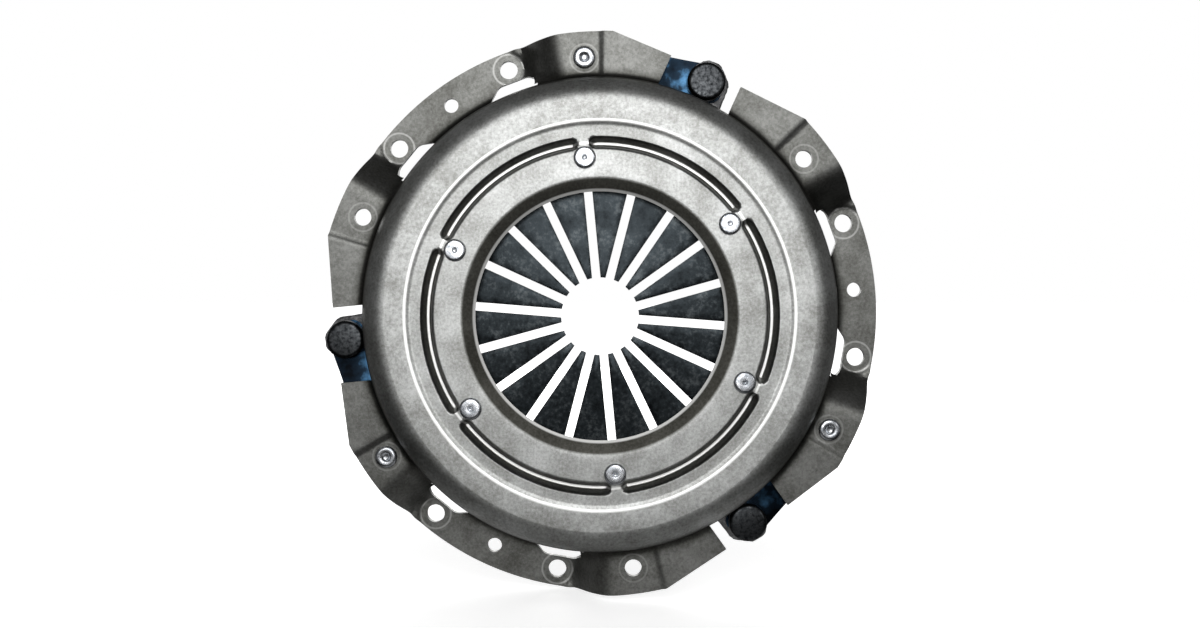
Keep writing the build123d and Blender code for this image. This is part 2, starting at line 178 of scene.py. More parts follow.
# bead-blasted deep-drawn steel: dull grey with cloudy patches and a peened grain, which is finer in truth
# and is drawn as coarse as it needs to show
blastedPlan = dict(
    grey=((0.36, "#82827F"), (0.5, "#A0A19F"), (0.62, "#B9BAB9")), patchSize=14.0, grainSize=1.1,
    peenSize=0.55, peenDepth=0.08, roughness=0.43, lipRoughness=0.6, metallic=1.0,
    # painted shade: colour and heights of the darkening low on the flange and the wall
    lowShade="#84837E", lowShadeFrom=33.0, lowShadeFull=22.0, lowShadeShare=0.75,  # heights
    # painted shade: the tone that darkens the lip, the wall's foot and the grooves' walls
    shadeTone="#7F7D77", lipR=52.8, lipFadeR=53.9,
    wallLean=0.19, flangeFrom=98.3, footFrom=98.9, footTo=104.2, footShare=0.85,  # radii at the pad's height
    grooveR=66.7, grooveHalf=3.4, sunkFrom=37.1, sunkTo=36.5, sunkShare=0.75,
    # radius and half width of each painted highlight line, and how bright they are
    bright="#F2F2F0", paintedHighlight=((48.4, 1.0), (66.7, 0.6), (75.2, 0.8)), highlightShare=0.75,
    # radius and angle of a hole, and radius, half width and brightness of the painted highlight ring round it
    rings=((layout["boltR"], layout["boltAngle"], 6.3, 0.5, 0.22),
           (layout["earHoleR"], layout["earHoleAngle"], 5.6, 0.45, 0.10)))


def blastedSteel():
    plan = blastedPlan
    material, tree, shader = newMaterial("blastedSteel", plan["metallic"], plan["roughness"])
    place = addNode(tree, "ShaderNodeTexCoord").outputs["Object"]
    patches = addNode(tree, "ShaderNodeTexNoise", {"Vector": place, "Scale": 1 / (plan["patchSize"] * mm),
                                                   "Detail": 4.0, "Roughness": 0.6})
    grain = addNode(tree, "ShaderNodeTexNoise", {"Vector": place, "Scale": 1 / (plan["grainSize"] * mm),
                                                 "Detail": 3.0, "Roughness": 0.7})
    both = addNode(tree, "ShaderNodeMath", {0: patches.outputs["Fac"], 1: grain.outputs["Fac"]}, operation="ADD")
    mean = addNode(tree, "ShaderNodeMath", {0: both.outputs[0], 1: 0.5}, operation="MULTIPLY")
    color = addNode(tree, "ShaderNodeValToRGB", {"Fac": mean.outputs[0]}, plan["grey"])
    # painted shade: the flange and the wall are darker towards the pad's height, where less light falls
    parts = addNode(tree, "ShaderNodeSeparateXYZ", {"Vector": place})
    lowness = addNode(tree, "ShaderNodeMapRange", {
        "Value": parts.outputs["Y"], "From Min": -plan["lowShadeFrom"] * mm, "From Max": -plan["lowShadeFull"] * mm,
        "To Min": 0.0, "To Max": plan["lowShadeShare"]})
    lowShade = addNode(tree, "ShaderNodeMix", {"Factor": lowness.outputs[0], "A": color.outputs[0],
                                           "B": hexColor(plan["lowShade"])}, data_type="RGBA", blend_type="MULTIPLY")
    # painted shade: the drawn lip round the opening is darkened, and its roughness raised
    flat = addNode(tree, "ShaderNodeCombineXYZ", {"X": parts.outputs["X"], "Z": parts.outputs["Z"]})
    radius = addNode(tree, "ShaderNodeVectorMath", {0: flat.outputs[0]}, operation="LENGTH").outputs["Value"]
    lip = addNode(tree, "ShaderNodeMapRange", {
        "Value": radius, "From Min": plan["lipR"] * mm, "From Max": plan["lipFadeR"] * mm,
        "To Min": 1.0, "To Max": 0.0})
    # painted shade on the flange at the foot of the leaning wall, where the wall hides the light
    lean = addNode(tree, "ShaderNodeMath", {0: parts.outputs["Y"], 1: plan["wallLean"]}, operation="MULTIPLY")
    fromWall = addNode(tree, "ShaderNodeMath", {0: radius, 1: lean.outputs[0]}, operation="SUBTRACT")
    foot = addNode(tree, "ShaderNodeMapRange", {
        "Value": fromWall.outputs[0], "From Min": plan["footFrom"] * mm, "From Max": plan["footTo"] * mm,
        "To Min": plan["footShare"], "To Max": 0.0}, interpolation_type="SMOOTHSTEP")
    onFlange = addNode(tree, "ShaderNodeMath", {0: fromWall.outputs[0], 1: plan["flangeFrom"] * mm},
                       operation="GREATER_THAN")
    footShade = addNode(tree, "ShaderNodeMath", {0: foot.outputs[0], 1: onFlange.outputs[0]}, operation="MULTIPLY")
    # painted shade on the grooves' walls, below the land
    fromGroove = addNode(tree, "ShaderNodeMath", {0: radius, 1: plan["grooveR"] * mm}, operation="SUBTRACT")
    besideGroove = addNode(tree, "ShaderNodeMath", {0: fromGroove.outputs[0]}, operation="ABSOLUTE")
    inGroove = addNode(tree, "ShaderNodeMath", {0: besideGroove.outputs[0], 1: plan["grooveHalf"] * mm},
                       operation="LESS_THAN")
    sunk = addNode(tree, "ShaderNodeMapRange", {
        "Value": parts.outputs["Y"], "From Min": -plan["sunkFrom"] * mm, "From Max": -plan["sunkTo"] * mm,
        "To Min": 0.0, "To Max": plan["sunkShare"]})
    grooveShade = addNode(tree, "ShaderNodeMath", {0: inGroove.outputs[0], 1: sunk.outputs[0]}, operation="MULTIPLY")
    most = addNode(tree, "ShaderNodeMath", {0: lip.outputs[0], 1: footShade.outputs[0]}, operation="MAXIMUM")
    dark = addNode(tree, "ShaderNodeMath", {0: most.outputs[0], 1: grooveShade.outputs[0]}, operation="MAXIMUM")
    shaded = addNode(tree, "ShaderNodeMix", {"Factor": dark.outputs[0], "A": lowShade.outputs["Result"],
                                             "B": hexColor(plan["shadeTone"])}, data_type="RGBA", blend_type="MULTIPLY")
    rough = addNode(tree, "ShaderNodeMapRange", {
        "Value": lip.outputs[0], "From Min": 0.0, "From Max": 1.0,
        "To Min": plan["roughness"], "To Max": plan["lipRoughness"]})
    tree.links.new(rough.outputs[0], shader.inputs["Roughness"])
    # painted highlights: bright lines on the step, the grooves' floor and the lip's edge, where their bends would
    # catch the light
    distances = [(radius, lineR, halfWidth, plan["highlightShare"]) for lineR, halfWidth in plan["paintedHighlight"]]
    # painted highlight: a bright ring round each hole, where the seat's edge would catch the light; the pads are
    # folded onto one another to find the nearest hole
    halfStep = layout["padStep"] / 2
    angle = addNode(tree, "ShaderNodeMath", {0: parts.outputs["Z"], 1: parts.outputs["X"]}, operation="ARCTAN2")
    turned = addNode(tree, "ShaderNodeMath", {0: angle.outputs[0], 1: radians(halfStep - layout["padTurn"])},
                     operation="ADD")
    third = addNode(tree, "ShaderNodeMath", {0: turned.outputs[0], 1: radians(layout["padStep"])},
                    operation="FLOORED_MODULO")
    centred = addNode(tree, "ShaderNodeMath", {0: third.outputs[0], 1: radians(halfStep)}, operation="SUBTRACT")
    fromPad = addNode(tree, "ShaderNodeMath", {0: centred.outputs[0]}, operation="ABSOLUTE")
    for holeR, holeAngle, ringR, halfWidth, share in plan["rings"]:
        swing = addNode(tree, "ShaderNodeMath", {0: fromPad.outputs[0], 1: radians(holeAngle)},
                        operation="SUBTRACT")
        cosine = addNode(tree, "ShaderNodeMath", {0: swing.outputs[0]}, operation="COSINE")
        sine = addNode(tree, "ShaderNodeMath", {0: swing.outputs[0]}, operation="SINE")
        outward = addNode(tree, "ShaderNodeMath", {0: radius, 1: cosine.outputs[0]}, operation="MULTIPLY")
        beyond = addNode(tree, "ShaderNodeMath", {0: outward.outputs[0], 1: holeR * mm}, operation="SUBTRACT")
        beside = addNode(tree, "ShaderNodeMath", {0: radius, 1: sine.outputs[0]}, operation="MULTIPLY")
        gap = addNode(tree, "ShaderNodeCombineXYZ", {"X": beyond.outputs[0], "Y": beside.outputs[0]})
        reach = addNode(tree, "ShaderNodeVectorMath", {0: gap.outputs[0]}, operation="LENGTH")
        distances.append((reach.outputs["Value"], ringR, halfWidth, share))
    paintedHighlight = None
    for distance, lineR, halfWidth, share in distances:
        off = addNode(tree, "ShaderNodeMath", {0: distance, 1: lineR * mm}, operation="SUBTRACT")
        near = addNode(tree, "ShaderNodeMath", {0: off.outputs[0]}, operation="ABSOLUTE")
        line = addNode(tree, "ShaderNodeMapRange", {
            "Value": near.outputs[0], "From Min": halfWidth * 0.5 * mm, "From Max": halfWidth * mm,
            "To Min": share, "To Max": 0.0})
        if paintedHighlight:
            line = addNode(tree, "ShaderNodeMath", {0: paintedHighlight.outputs[0], 1: line.outputs[0]}, operation="MAXIMUM")
        paintedHighlight = line
    mixed = addNode(tree, "ShaderNodeMix", {"Factor": paintedHighlight.outputs[0], "A": shaded.outputs["Result"],
                                            "B": hexColor(plan["bright"])}, data_type="RGBA")
    tree.links.new(mixed.outputs["Result"], shader.inputs["Base Color"])
    peen = addNode(tree, "ShaderNodeTexNoise", {"Vector": place, "Scale": 1 / (plan["peenSize"] * mm),
                                                "Detail": 2.0})
    bump = addNode(tree, "ShaderNodeBump", {"Height": peen.outputs["Fac"], "Strength": 0.35,
                                            "Distance": plan["peenDepth"] * mm})
    tree.links.new(bump.outputs[0], shader.inputs["Normal"])
    return material


# pressed cover: dome, land, six fulcrum grooves, wall, three pads and three pairs of ears
coverPlan = dict(
    sheet=2.6, steps=672, openingR=48.1, openingH=35.2, lipR=53.1, land=37.4,
    bandInR=63.2, bandOutR=70.4, stepInR=73.4, stepOutR=75.0, top=38.0, shoulder=10.3,
    footR=98.2, draft=0.19, joinHeight=26.0, bendTop=5.0, wallFrom=90.0, flatR=101.0,
    earHeight=19.0, rampAngle=23.3, rampStart=-9.0, rampEnd=10.0, rampWarp=0.62,
    foldHole=37.8, foldRivet=35.8, foldStep=1.0, foldHalf=0.5,
    padR=114.5, earR=112.5, padEdge=17.0, earEdge=25.0,
    seatR=6.2, seatFade=1.7, seatStep=1.0, seatFrom=-14.5, seatTo=-10.5,
    grooveR=66.7, grooveDepth=4.85, grooveFloor=0.5, grooveHalf=2.65, grooveEnd=3.9,
    grooveBand=(63.0, 70.6), smoothAngle=35)


def smoothShare(value, low, high):
    share = min(1.0, max(0.0, (value - low) / (high - low)))
    return share * share * (3 - 2 * share)


def flangeRise(r, fromPad, towardHole):
    # height of the flange over the pad: ramp, low part of the ear, and the step over the strap
    plan = coverPlan
    along = r * sin(radians(fromPad - plan["rampAngle"]))
    share = min(1.0, max(0.0, (along - plan["rampStart"]) / (plan["rampEnd"] - plan["rampStart"])))
    share = share ** plan["rampWarp"]
    share = share * share * share * (share * (share * 6 - 15) + 10)
    fold = plan["foldHole"] if towardHole else plan["foldRivet"]
    rise = plan["earHeight"] * share
    rise += plan["foldStep"] * smoothShare(fromPad, fold - plan["foldHalf"], fold + plan["foldHalf"])
    rise += plan["seatStep"] * smoothShare(along, plan["seatFrom"], plan["seatTo"]) * (1 - share)
    # the coined seat under each bolt's head keeps the pad's height and leaves a small step in the ramp's foot
    fromBolt = radians(fromPad - layout["boltAngle"])
    bolt = hypot(r * cos(fromBolt) - layout["boltR"], r * sin(fromBolt))
    return rise * smoothShare(bolt, plan["seatR"], plan["seatR"] + plan["seatFade"])


def coverShell():
    plan = coverPlan
    sheet, draft, top, knee = plan["sheet"], plan["draft"], plan["joinHeight"], plan["bendTop"]
    padR, flatR, halfStep = plan["padR"], plan["flatR"], layout["padStep"] / 2
    corners = [
        (plan["openingR"], plan["openingH"], 0, 0),
        (plan["lipR"], plan["land"], 0.9, 3),
        (plan["bandInR"], plan["land"], 0, 18),
        (plan["bandOutR"], plan["land"], 0, 0),
        (plan["stepInR"], plan["land"], 0.5, 0),
        (plan["stepOutR"], plan["top"], 0.4, 1),
        (plan["footR"] - draft * (plan["top"] - sheet), plan["top"], plan["shoulder"], 0),
        (plan["footR"] - draft * (top - sheet), top, 0, 6),
        (plan["footR"], sheet, 2.0, 0),
        (flatR, sheet, 0, 15),
        (padR, sheet, 0, 0),
    ]
    bm = profileLine(corners)
    spinRound(bm, plan["steps"])
    for v in bm.verts:
        r = hypot(v.co.x, v.co.z) / mm
        h = -v.co.y / mm
        angle = degrees(atan2(v.co.z, v.co.x)) - layout["padTurn"]
        around = (angle + halfStep) % layout["padStep"] - halfStep
        fromPad = abs(around)
        rise = flangeRise(r, fromPad, around > 0)
        # the wall and the bend follow the flange up, and lean in with it
        if h <= knee + 0.001 and r > plan["wallFrom"]:
            h = h + rise
            r = r - draft * rise * max(0.0, (padR - max(r, flatR)) / (padR - flatR))
        elif h < top and r > plan["wallFrom"]:
            lower = top - (top - h) * (top - knee - rise) / (top - knee)
            r = r - draft * (lower - h)
            h = lower
        # outer edge: a little smaller at the ears
        if r > flatR:
            edge = padR + (plan["earR"] - padR) * smoothShare(fromPad, plan["padEdge"], plan["earEdge"])
            r = flatR + (r - flatR) * (edge - flatR) / (padR - flatR)
        # pressed grooves, which end just before every rivet
        if plan["grooveBand"][0] < r < plan["grooveBand"][1]:
            fromRivet = abs(angle % layout["rivetStep"] - layout["rivetTurn"])
            beyond = radians(max(0.0, plan["grooveEnd"] - fromRivet)) * plan["grooveR"]
            across = hypot(r - plan["grooveR"], beyond)
            h = h - plan["grooveDepth"] * (1 - smoothShare(across, plan["grooveFloor"], plan["grooveHalf"]))
        turn = radians(angle + layout["padTurn"])
        v.co = Vector((r * cos(turn), -h, r * sin(turn))) * mm
    bmesh.ops.recalc_face_normals(bm, faces=bm.faces)
    # the outside faces the gearbox
    if sum(f.normal.y for f in bm.faces) > 0:
        bmesh.ops.reverse_faces(bm, faces=bm.faces)
    shell = newObject("coverShell", bm)
    wall = shell.modifiers.new("sheet", "SOLIDIFY")
    wall.thickness = sheet * mm
    wall.offset = -1
    return settled(shell)


# what is cut through the cover: heights are where a cut starts and ends
holePlan = dict(
    boltHole=7.4, dowelR=105.75, dowelHole=5.9, padCut=(-6, 12), earHole=6.8, strapHole=6.1, earCut=(12, 30),
    rivetHole=6.1, domeCut=(28, 44),
    windowInR=93.0, windowR=102.3, windowHalf=6.4, windowCornerR=97.56, windowFootHalf=11.5, windowFoot=4.0,
    windowTopHalf=6.0, windowTop=17.0, windowPast=3.0, windowRounding=1.6, wallCutR=88.0, wallLow=-5.0,
    wallRounding=2.6,
    notchR=88.0, notchOutR=130.0, notchLow=-13.2, notchHigh=17.0, notchCut=(10, 27.0),
    cornerR=112.6, cornerAngle=38.0, footR=106.2, footAngle=52.5, endCut=(10, 30), pastCorner=8, pastFoot=12,
    endWidth=25)


def addHole(bm, r, angle, diameter, low, high, sides=48):
    turn = Matrix.Translation(toRow(r, angle, (low + high) / 2)) @ Matrix.Rotation(pi / 2, 4, "X")
    bmesh.ops.create_cone(bm, cap_ends=True, segments=sides, radius1=diameter / 2 * mm, radius2=diameter / 2 * mm,
                          depth=(high - low) * mm, matrix=turn)


def addPrism(bm, angle, rim, low, high, rounding=0.0):
    # rim is a list of (radial, tangential) corners about the given angle, drawn up from low to high
    face = bm.faces.new([bm.verts.new(Vector((r, -low, s)) * mm) for r, s in rim])
    upper = onlyVerts(bmesh.ops.extrude_face_region(bm, geom=[face])["geom"])
    bmesh.ops.translate(bm, vec=Vector((0, (low - high) * mm, 0)), verts=upper)
    verts = list(face.verts) + upper
    turnAboutAxis(bm, angle, verts)
    if rounding:
        upright = [e for e in set(e for v in verts for e in v.link_edges)
                   if abs((e.verts[0].co - e.verts[1].co).normalized().y) > 0.9]
        bmesh.ops.bevel(bm, geom=upright, affect="EDGES", offset=rounding * mm, segments=5, profile=0.5,
                        material=-1)


def addRadial(bm, angle, rim, rLow, rHigh, rounding):
    # rim is a list of (tangential, height) corners, drawn outward from rLow to rHigh
    face = bm.faces.new([bm.verts.new(Vector((rLow, -h, s)) * mm) for s, h in rim])
    outer = onlyVerts(bmesh.ops.extrude_face_region(bm, geom=[face])["geom"])
    bmesh.ops.translate(bm, vec=Vector(((rHigh - rLow) * mm, 0, 0)), verts=outer)
    verts = list(face.verts) + outer
    level = [e for e in set(e for v in verts for e in v.link_edges)
             if abs((e.verts[0].co - e.verts[1].co).normalized().x) > 0.9 and e.verts[0].co.y < 0]
    turnAboutAxis(bm, angle, verts)
    bmesh.ops.bevel(bm, geom=level, affect="EDGES", offset=rounding * mm, segments=5, profile=0.5, material=-1)


def cutCover(shell):
    plan = holePlan
    half, foot, slim = plan["windowHalf"], plan["windowFootHalf"], plan["windowTopHalf"]
    inner, corner, outer = plan["windowInR"], plan["windowCornerR"], plan["windowR"]
    inFlange = [(inner, -foot), (corner, -foot), (outer, -half), (outer, half), (corner, foot), (inner, foot)]
    inWall = [(-foot, plan["wallLow"]), (-foot, plan["windowFoot"]), (-slim, plan["windowTop"]),
              (slim, plan["windowTop"]), (foot, plan["windowFoot"]), (foot, plan["wallLow"])]
    notch = [(plan["notchR"], plan["notchLow"]), (plan["notchOutR"], plan["notchLow"]),
             (plan["notchOutR"], plan["notchHigh"]), (plan["notchR"], plan["notchHigh"])]
    fromLug = radians(layout["lugTurn"] - plan["cornerAngle"])
    footTurn = radians(layout["lugTurn"] - plan["footAngle"])
    wide = Vector((plan["endWidth"], 0))
    bm = bmesh.new()
    for k in range(3):
        turn = layout["padTurn"] + k * layout["padStep"]
        lug = turn + layout["lugTurn"]
        for side in (-1, 1):
            bolt = turn + side * layout["boltAngle"]
            addHole(bm, layout["boltR"], bolt, plan["boltHole"], *plan["padCut"])
            addPrism(bm, bolt, inFlange, plan["padCut"][0], plan["windowFoot"] + plan["windowPast"],
                     plan["windowRounding"])
            addRadial(bm, bolt, inWall, plan["wallCutR"], corner, plan["wallRounding"])
        addHole(bm, plan["dowelR"], turn, plan["dowelHole"], *plan["padCut"])
        addHole(bm, layout["earHoleR"], turn + layout["earHoleAngle"], plan["earHole"], *plan["earCut"])
        addHole(bm, layout["strapR"], lug + layout["strapTurn"], plan["strapHole"], *plan["earCut"])
        addPrism(bm, lug, notch, *plan["notchCut"])
        # slanted ends of the ears
        for side in (-1, 1):
            a = Vector((plan["cornerR"] * cos(fromLug), side * plan["cornerR"] * sin(fromLug)))
            b = Vector((plan["footR"] * cos(footTurn), side * plan["footR"] * sin(footTurn)))
            along = (b - a).normalized()
            start, end = a - along * plan["pastCorner"], b + along * plan["pastFoot"]
            addPrism(bm, lug, [start, end, end + wide, start + wide], *plan["endCut"])
    for k in range(6):
        rivet = layout["padTurn"] + layout["rivetTurn"] + layout["rivetStep"] * k
        addHole(bm, layout["rivetR"], rivet, plan["rivetHole"], *plan["domeCut"])
    bmesh.ops.recalc_face_normals(bm, faces=bm.faces)
    return cutAway(shell, bm, crossing=True)


cover = cutCover(coverShell())
smoothBelow(cover.data, coverPlan["smoothAngle"])
cover.data.materials.clear()
cover.data.materials.append(blastedSteel())
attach(cover, "cover")
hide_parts("cover")
print("cover done", len(cover.data.polygons))


def keepCadNode(name, material, bevel):
    # a CAD node that is right as it is: its triangles are joined, its edges broken a little
    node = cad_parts[name]
    node.data.polygons.foreach_set("use_smooth", [True] * len(node.data.polygons))
    node.modifiers.new("join", "WELD").merge_threshold = 2e-6
    edge = node.modifiers.new("edge", "BEVEL")
    edge.width = bevel * mm
    edge.segments = 2
    edge.limit_method = "ANGLE"
    edge.angle_limit = radians(38)
    edge.harden_normals = True
    node.data.materials.clear()
    node.data.materials.append(material)
    return node


# hardened and tempered spring steel: blue-black on the side that faces the gearbox, greyer on the side that faces
# the flywheel
springPlan = dict(outside=((0.34, "#1B1E20"), (0.52, "#32373A"), (0.72, "#63686A")),
                  inside=((0.38, "#55595B"), (0.5, "#777A7C"), (0.62, "#A6A8AA")),
                  cloud=9.0, fleck=1.6, fleckDepth=0.05, roughness=0.36, smoother=0.07, rougher=0.12,
                  fingerEdge=0.4, ringEdge=0.1)


def springSteel():
    plan = springPlan
    material, tree, shader = newMaterial("temperedSpringSteel", 1.0, plan["roughness"])
    coord = addNode(tree, "ShaderNodeTexCoord")
    place = coord.outputs["Object"]
    cloud = addNode(tree, "ShaderNodeTexNoise", {"Vector": place, "Scale": 1 / (plan["cloud"] * mm),
                                                 "Detail": 5.0, "Roughness": 0.62})
    fleck = addNode(tree, "ShaderNodeTexNoise", {"Vector": place, "Scale": 1 / (plan["fleck"] * mm),
                                                 "Detail": 4.0, "Roughness": 0.7})
    both = addNode(tree, "ShaderNodeMath", {0: cloud.outputs["Fac"], 1: fleck.outputs["Fac"]}, operation="ADD")
    mean = addNode(tree, "ShaderNodeMath", {0: both.outputs[0], 1: 0.5}, operation="MULTIPLY")
    outside = addNode(tree, "ShaderNodeValToRGB", {"Fac": mean.outputs[0]}, plan["outside"])
    inside = addNode(tree, "ShaderNodeValToRGB", {"Fac": mean.outputs[0]}, plan["inside"])
    # the colour turns greyer on the side that faces the flywheel
    facing = addNode(tree, "ShaderNodeSeparateXYZ", {"Vector": coord.outputs["Normal"]})
    side = addNode(tree, "ShaderNodeMapRange", {"Value": facing.outputs["Y"], "From Min": -0.1, "From Max": 0.5})
    mixed = addNode(tree, "ShaderNodeMix", {"Factor": side.outputs[0], "A": outside.outputs[0],
                                            "B": inside.outputs[0]}, data_type="RGBA")
    tree.links.new(mixed.outputs["Result"], shader.inputs["Base Color"])
    rough = addNode(tree, "ShaderNodeMapRange", {
        "Value": fleck.outputs["Fac"], "From Min": 0.3, "From Max": 0.7,
        "To Min": plan["roughness"] - plan["smoother"], "To Max": plan["roughness"] + plan["rougher"]})
    tree.links.new(rough.outputs[0], shader.inputs["Roughness"])
    bump = addNode(tree, "ShaderNodeBump", {"Height": fleck.outputs["Fac"], "Strength": 0.25,
                                            "Distance": plan["fleckDepth"] * mm})
    tree.links.new(bump.outputs[0], shader.inputs["Normal"])
    return material


spring = springSteel()
for k in range(18):
    keepCadNode("spring_finger_%02d" % (k + 1), spring, springPlan["fingerEdge"])
keepCadNode("fulcrum_ring", spring, springPlan["ringEdge"])
print("spring done")


# grey cast iron: a sandy cast skin, and a ground friction face whose fine rings stretch the highlights.
# The grinding marks are finer in truth and are drawn as coarse as they need to show
ironPlan = dict(skin=((0.38, "#505051"), (0.5, "#7C7C7D"), (0.63, "#A8A8A8")), sand=0.9, lump=5.0,
                skinDepth=0.35, skinMetallic=0.7, skinRoughness=0.62,
                face=((0.38, "#8A8886"), (0.62, "#ACAAA7")), ringPitch=0.28, ringDepth=0.02, ringDrift=3.0,
                stain=22.0, faceRoughness=0.27, anisotropy=0.75)


def castIron():
    plan = ironPlan
    material, tree, shader = newMaterial("castIronSkin", plan["skinMetallic"], plan["skinRoughness"])
    place = addNode(tree, "ShaderNodeTexCoord").outputs["Object"]
    sand = addNode(tree, "ShaderNodeTexNoise", {"Vector": place, "Scale": 1 / (plan["sand"] * mm),
                                                "Detail": 5.0, "Roughness": 0.7})
    lump = addNode(tree, "ShaderNodeTexNoise", {"Vector": place, "Scale": 1 / (plan["lump"] * mm),
                                                "Detail": 4.0, "Roughness": 0.6})
    both = addNode(tree, "ShaderNodeMath", {0: sand.outputs["Fac"], 1: lump.outputs["Fac"]}, operation="ADD")
    mean = addNode(tree, "ShaderNodeMath", {0: both.outputs[0], 1: 0.5}, operation="MULTIPLY")
    color = addNode(tree, "ShaderNodeValToRGB", {"Fac": mean.outputs[0]}, plan["skin"])
    tree.links.new(color.outputs[0], shader.inputs["Base Color"])
    bump = addNode(tree, "ShaderNodeBump", {"Height": mean.outputs[0], "Strength": 0.7,
                                            "Distance": plan["skinDepth"] * mm})
    tree.links.new(bump.outputs[0], shader.inputs["Normal"])
    return material


def groundIron():
    plan = ironPlan
    material, tree, shader = newMaterial("groundIronFace", 1.0, plan["faceRoughness"])
    place = addNode(tree, "ShaderNodeTexCoord").outputs["Object"]
    parts = addNode(tree, "ShaderNodeSeparateXYZ", {"Vector": place})
    flat = addNode(tree, "ShaderNodeCombineXYZ", {"X": parts.outputs["X"], "Z": parts.outputs["Z"]})
    radius = addNode(tree, "ShaderNodeVectorMath", {0: flat.outputs[0]}, operation="LENGTH")
    angle = addNode(tree, "ShaderNodeMath", {0: parts.outputs["Z"], 1: parts.outputs["X"]}, operation="ARCTAN2")
    across = addNode(tree, "ShaderNodeMath", {0: radius.outputs["Value"], 1: 1 / (plan["ringPitch"] * mm)},
                     operation="MULTIPLY")
    along = addNode(tree, "ShaderNodeMath", {0: angle.outputs[0], 1: plan["ringDrift"]}, operation="MULTIPLY")
    turned = addNode(tree, "ShaderNodeCombineXYZ", {"X": across.outputs[0], "Y": along.outputs[0]})
    rings = addNode(tree, "ShaderNodeTexNoise", {"Vector": turned.outputs[0], "Scale": 1.0, "Detail": 3.0,
                                                 "Roughness": 0.6})
    stain = addNode(tree, "ShaderNodeTexNoise", {"Vector": place, "Scale": 1 / (plan["stain"] * mm),
                                                 "Detail": 5.0, "Roughness": 0.65})
    both = addNode(tree, "ShaderNodeMath", {0: rings.outputs["Fac"], 1: stain.outputs["Fac"]}, operation="ADD")
    mean = addNode(tree, "ShaderNodeMath", {0: both.outputs[0], 1: 0.5}, operation="MULTIPLY")
    color = addNode(tree, "ShaderNodeValToRGB", {"Fac": mean.outputs[0]}, plan["face"])
    tree.links.new(color.outputs[0], shader.inputs["Base Color"])
    shader.inputs["Anisotropic"].default_value = plan["anisotropy"]
    tangent = addNode(tree, "ShaderNodeTangent", direction_type="UV_MAP", uv_map="around")
    tree.links.new(tangent.outputs[0], shader.inputs["Tangent"])
    bump = addNode(tree, "ShaderNodeBump", {"Height": rings.outputs["Fac"], "Strength": 0.12,
                                            "Distance": plan["ringDepth"] * mm})
    tree.links.new(bump.outputs[0], shader.inputs["Normal"])
    return material


# pressure plate: turned casting with a ground face, a parted fulcrum ridge and three rough lugs
platePlan = dict(inR=64.7, outR=92.4, face=4.0, back=16.0, edge=12.5, outSlope=5.5, inSlope=3.0, steps=360,
                 ridgeR=78.5, ridgeFoot=3.4, ridgeHalf=1.4, ridgeTop=25.8, smoothAngle=40,
                 gaps=12, gapInR=72, gapOutR=85, gapHalf=3.5, gapFloor=0.05, gapTop=32)
# the lug's rim is given from the axis outward, as radial and tangential places
lugPlan = dict(rim=((80.0, -10.5), (105.8, -9.2), (111.8, -2.6), (111.8, 3.0), (105.5, 9.4), (94.9, 16.5),
                    (80.0, 25.5)),
               face=5.4, back=14.4, uprightRounding=1.8, edgeRounding=1.1, spotR=8.5,
               slices=24, outward=(80, 1.35), sideways=(-12, 1.5),
               lumps=(0.55, 31.0), sand=(1.7, 17.0), rough=0.16)


def plateRing():
    plan = platePlan
    inR, outR, face, back = plan["inR"], plan["outR"], plan["face"], plan["back"]
    ridgeR, ridgeFoot, ridgeHalf, ridgeTop = plan["ridgeR"], plan["ridgeFoot"], plan["ridgeHalf"], plan["ridgeTop"]
    corners = [
        (inR, face, 0.9, 0),
        (outR, face, 0.8, 0),
        (outR, plan["edge"], 1.5, 0),
        (outR - plan["outSlope"], back, 1.5, 0),
        (ridgeR + ridgeFoot, back, 1.0, 0),
        (ridgeR + ridgeHalf, ridgeTop, 1.0, 0),
        (ridgeR - ridgeHalf, ridgeTop, 1.0, 0),
        (ridgeR - ridgeFoot, back, 1.0, 0),
        (inR + plan["inSlope"], back, 1.2, 0),
        (inR, back - plan["inSlope"], 1.2, 0),
    ]
    bm = profileLine(corners, closed=True)
    spinRound(bm, plan["steps"])
    # the map runs round the axis, so that the highlights on the ground face stretch along the rings
    around = bm.loops.layers.uv.new("around")
    for f in bm.faces:
        mid = f.calc_center_median()
        base = atan2(mid.z, mid.x)
        for loop in f.loops:
            turn = atan2(loop.vert.co.z, loop.vert.co.x)
            turn = base + (turn - base + pi) % (2 * pi) - pi
            loop[around].uv = (turn / (2 * pi), hypot(loop.vert.co.x, loop.vert.co.z) / 0.1)
        if f.normal.y > 0.5 and hypot(mid.x, mid.z) > inR * mm:
            f.material_index = 1
    ring = newObject("plateRing", bm)
    ring.data.materials.append(cast)
    ring.data.materials.append(ground)
    bm = bmesh.new()
    gapStep = 360 / plan["gaps"]
    rim = [(plan["gapInR"], -plan["gapHalf"]), (plan["gapOutR"], -plan["gapHalf"]),
           (plan["gapOutR"], plan["gapHalf"]), (plan["gapInR"], plan["gapHalf"])]
    for k in range(plan["gaps"]):
        addPrism(bm, layout["padTurn"] + gapStep / 2 + gapStep * k, rim, back + plan["gapFloor"], plan["gapTop"])
    bmesh.ops.recalc_face_normals(bm, faces=bm.faces)
    return cutAway(ring, bm)


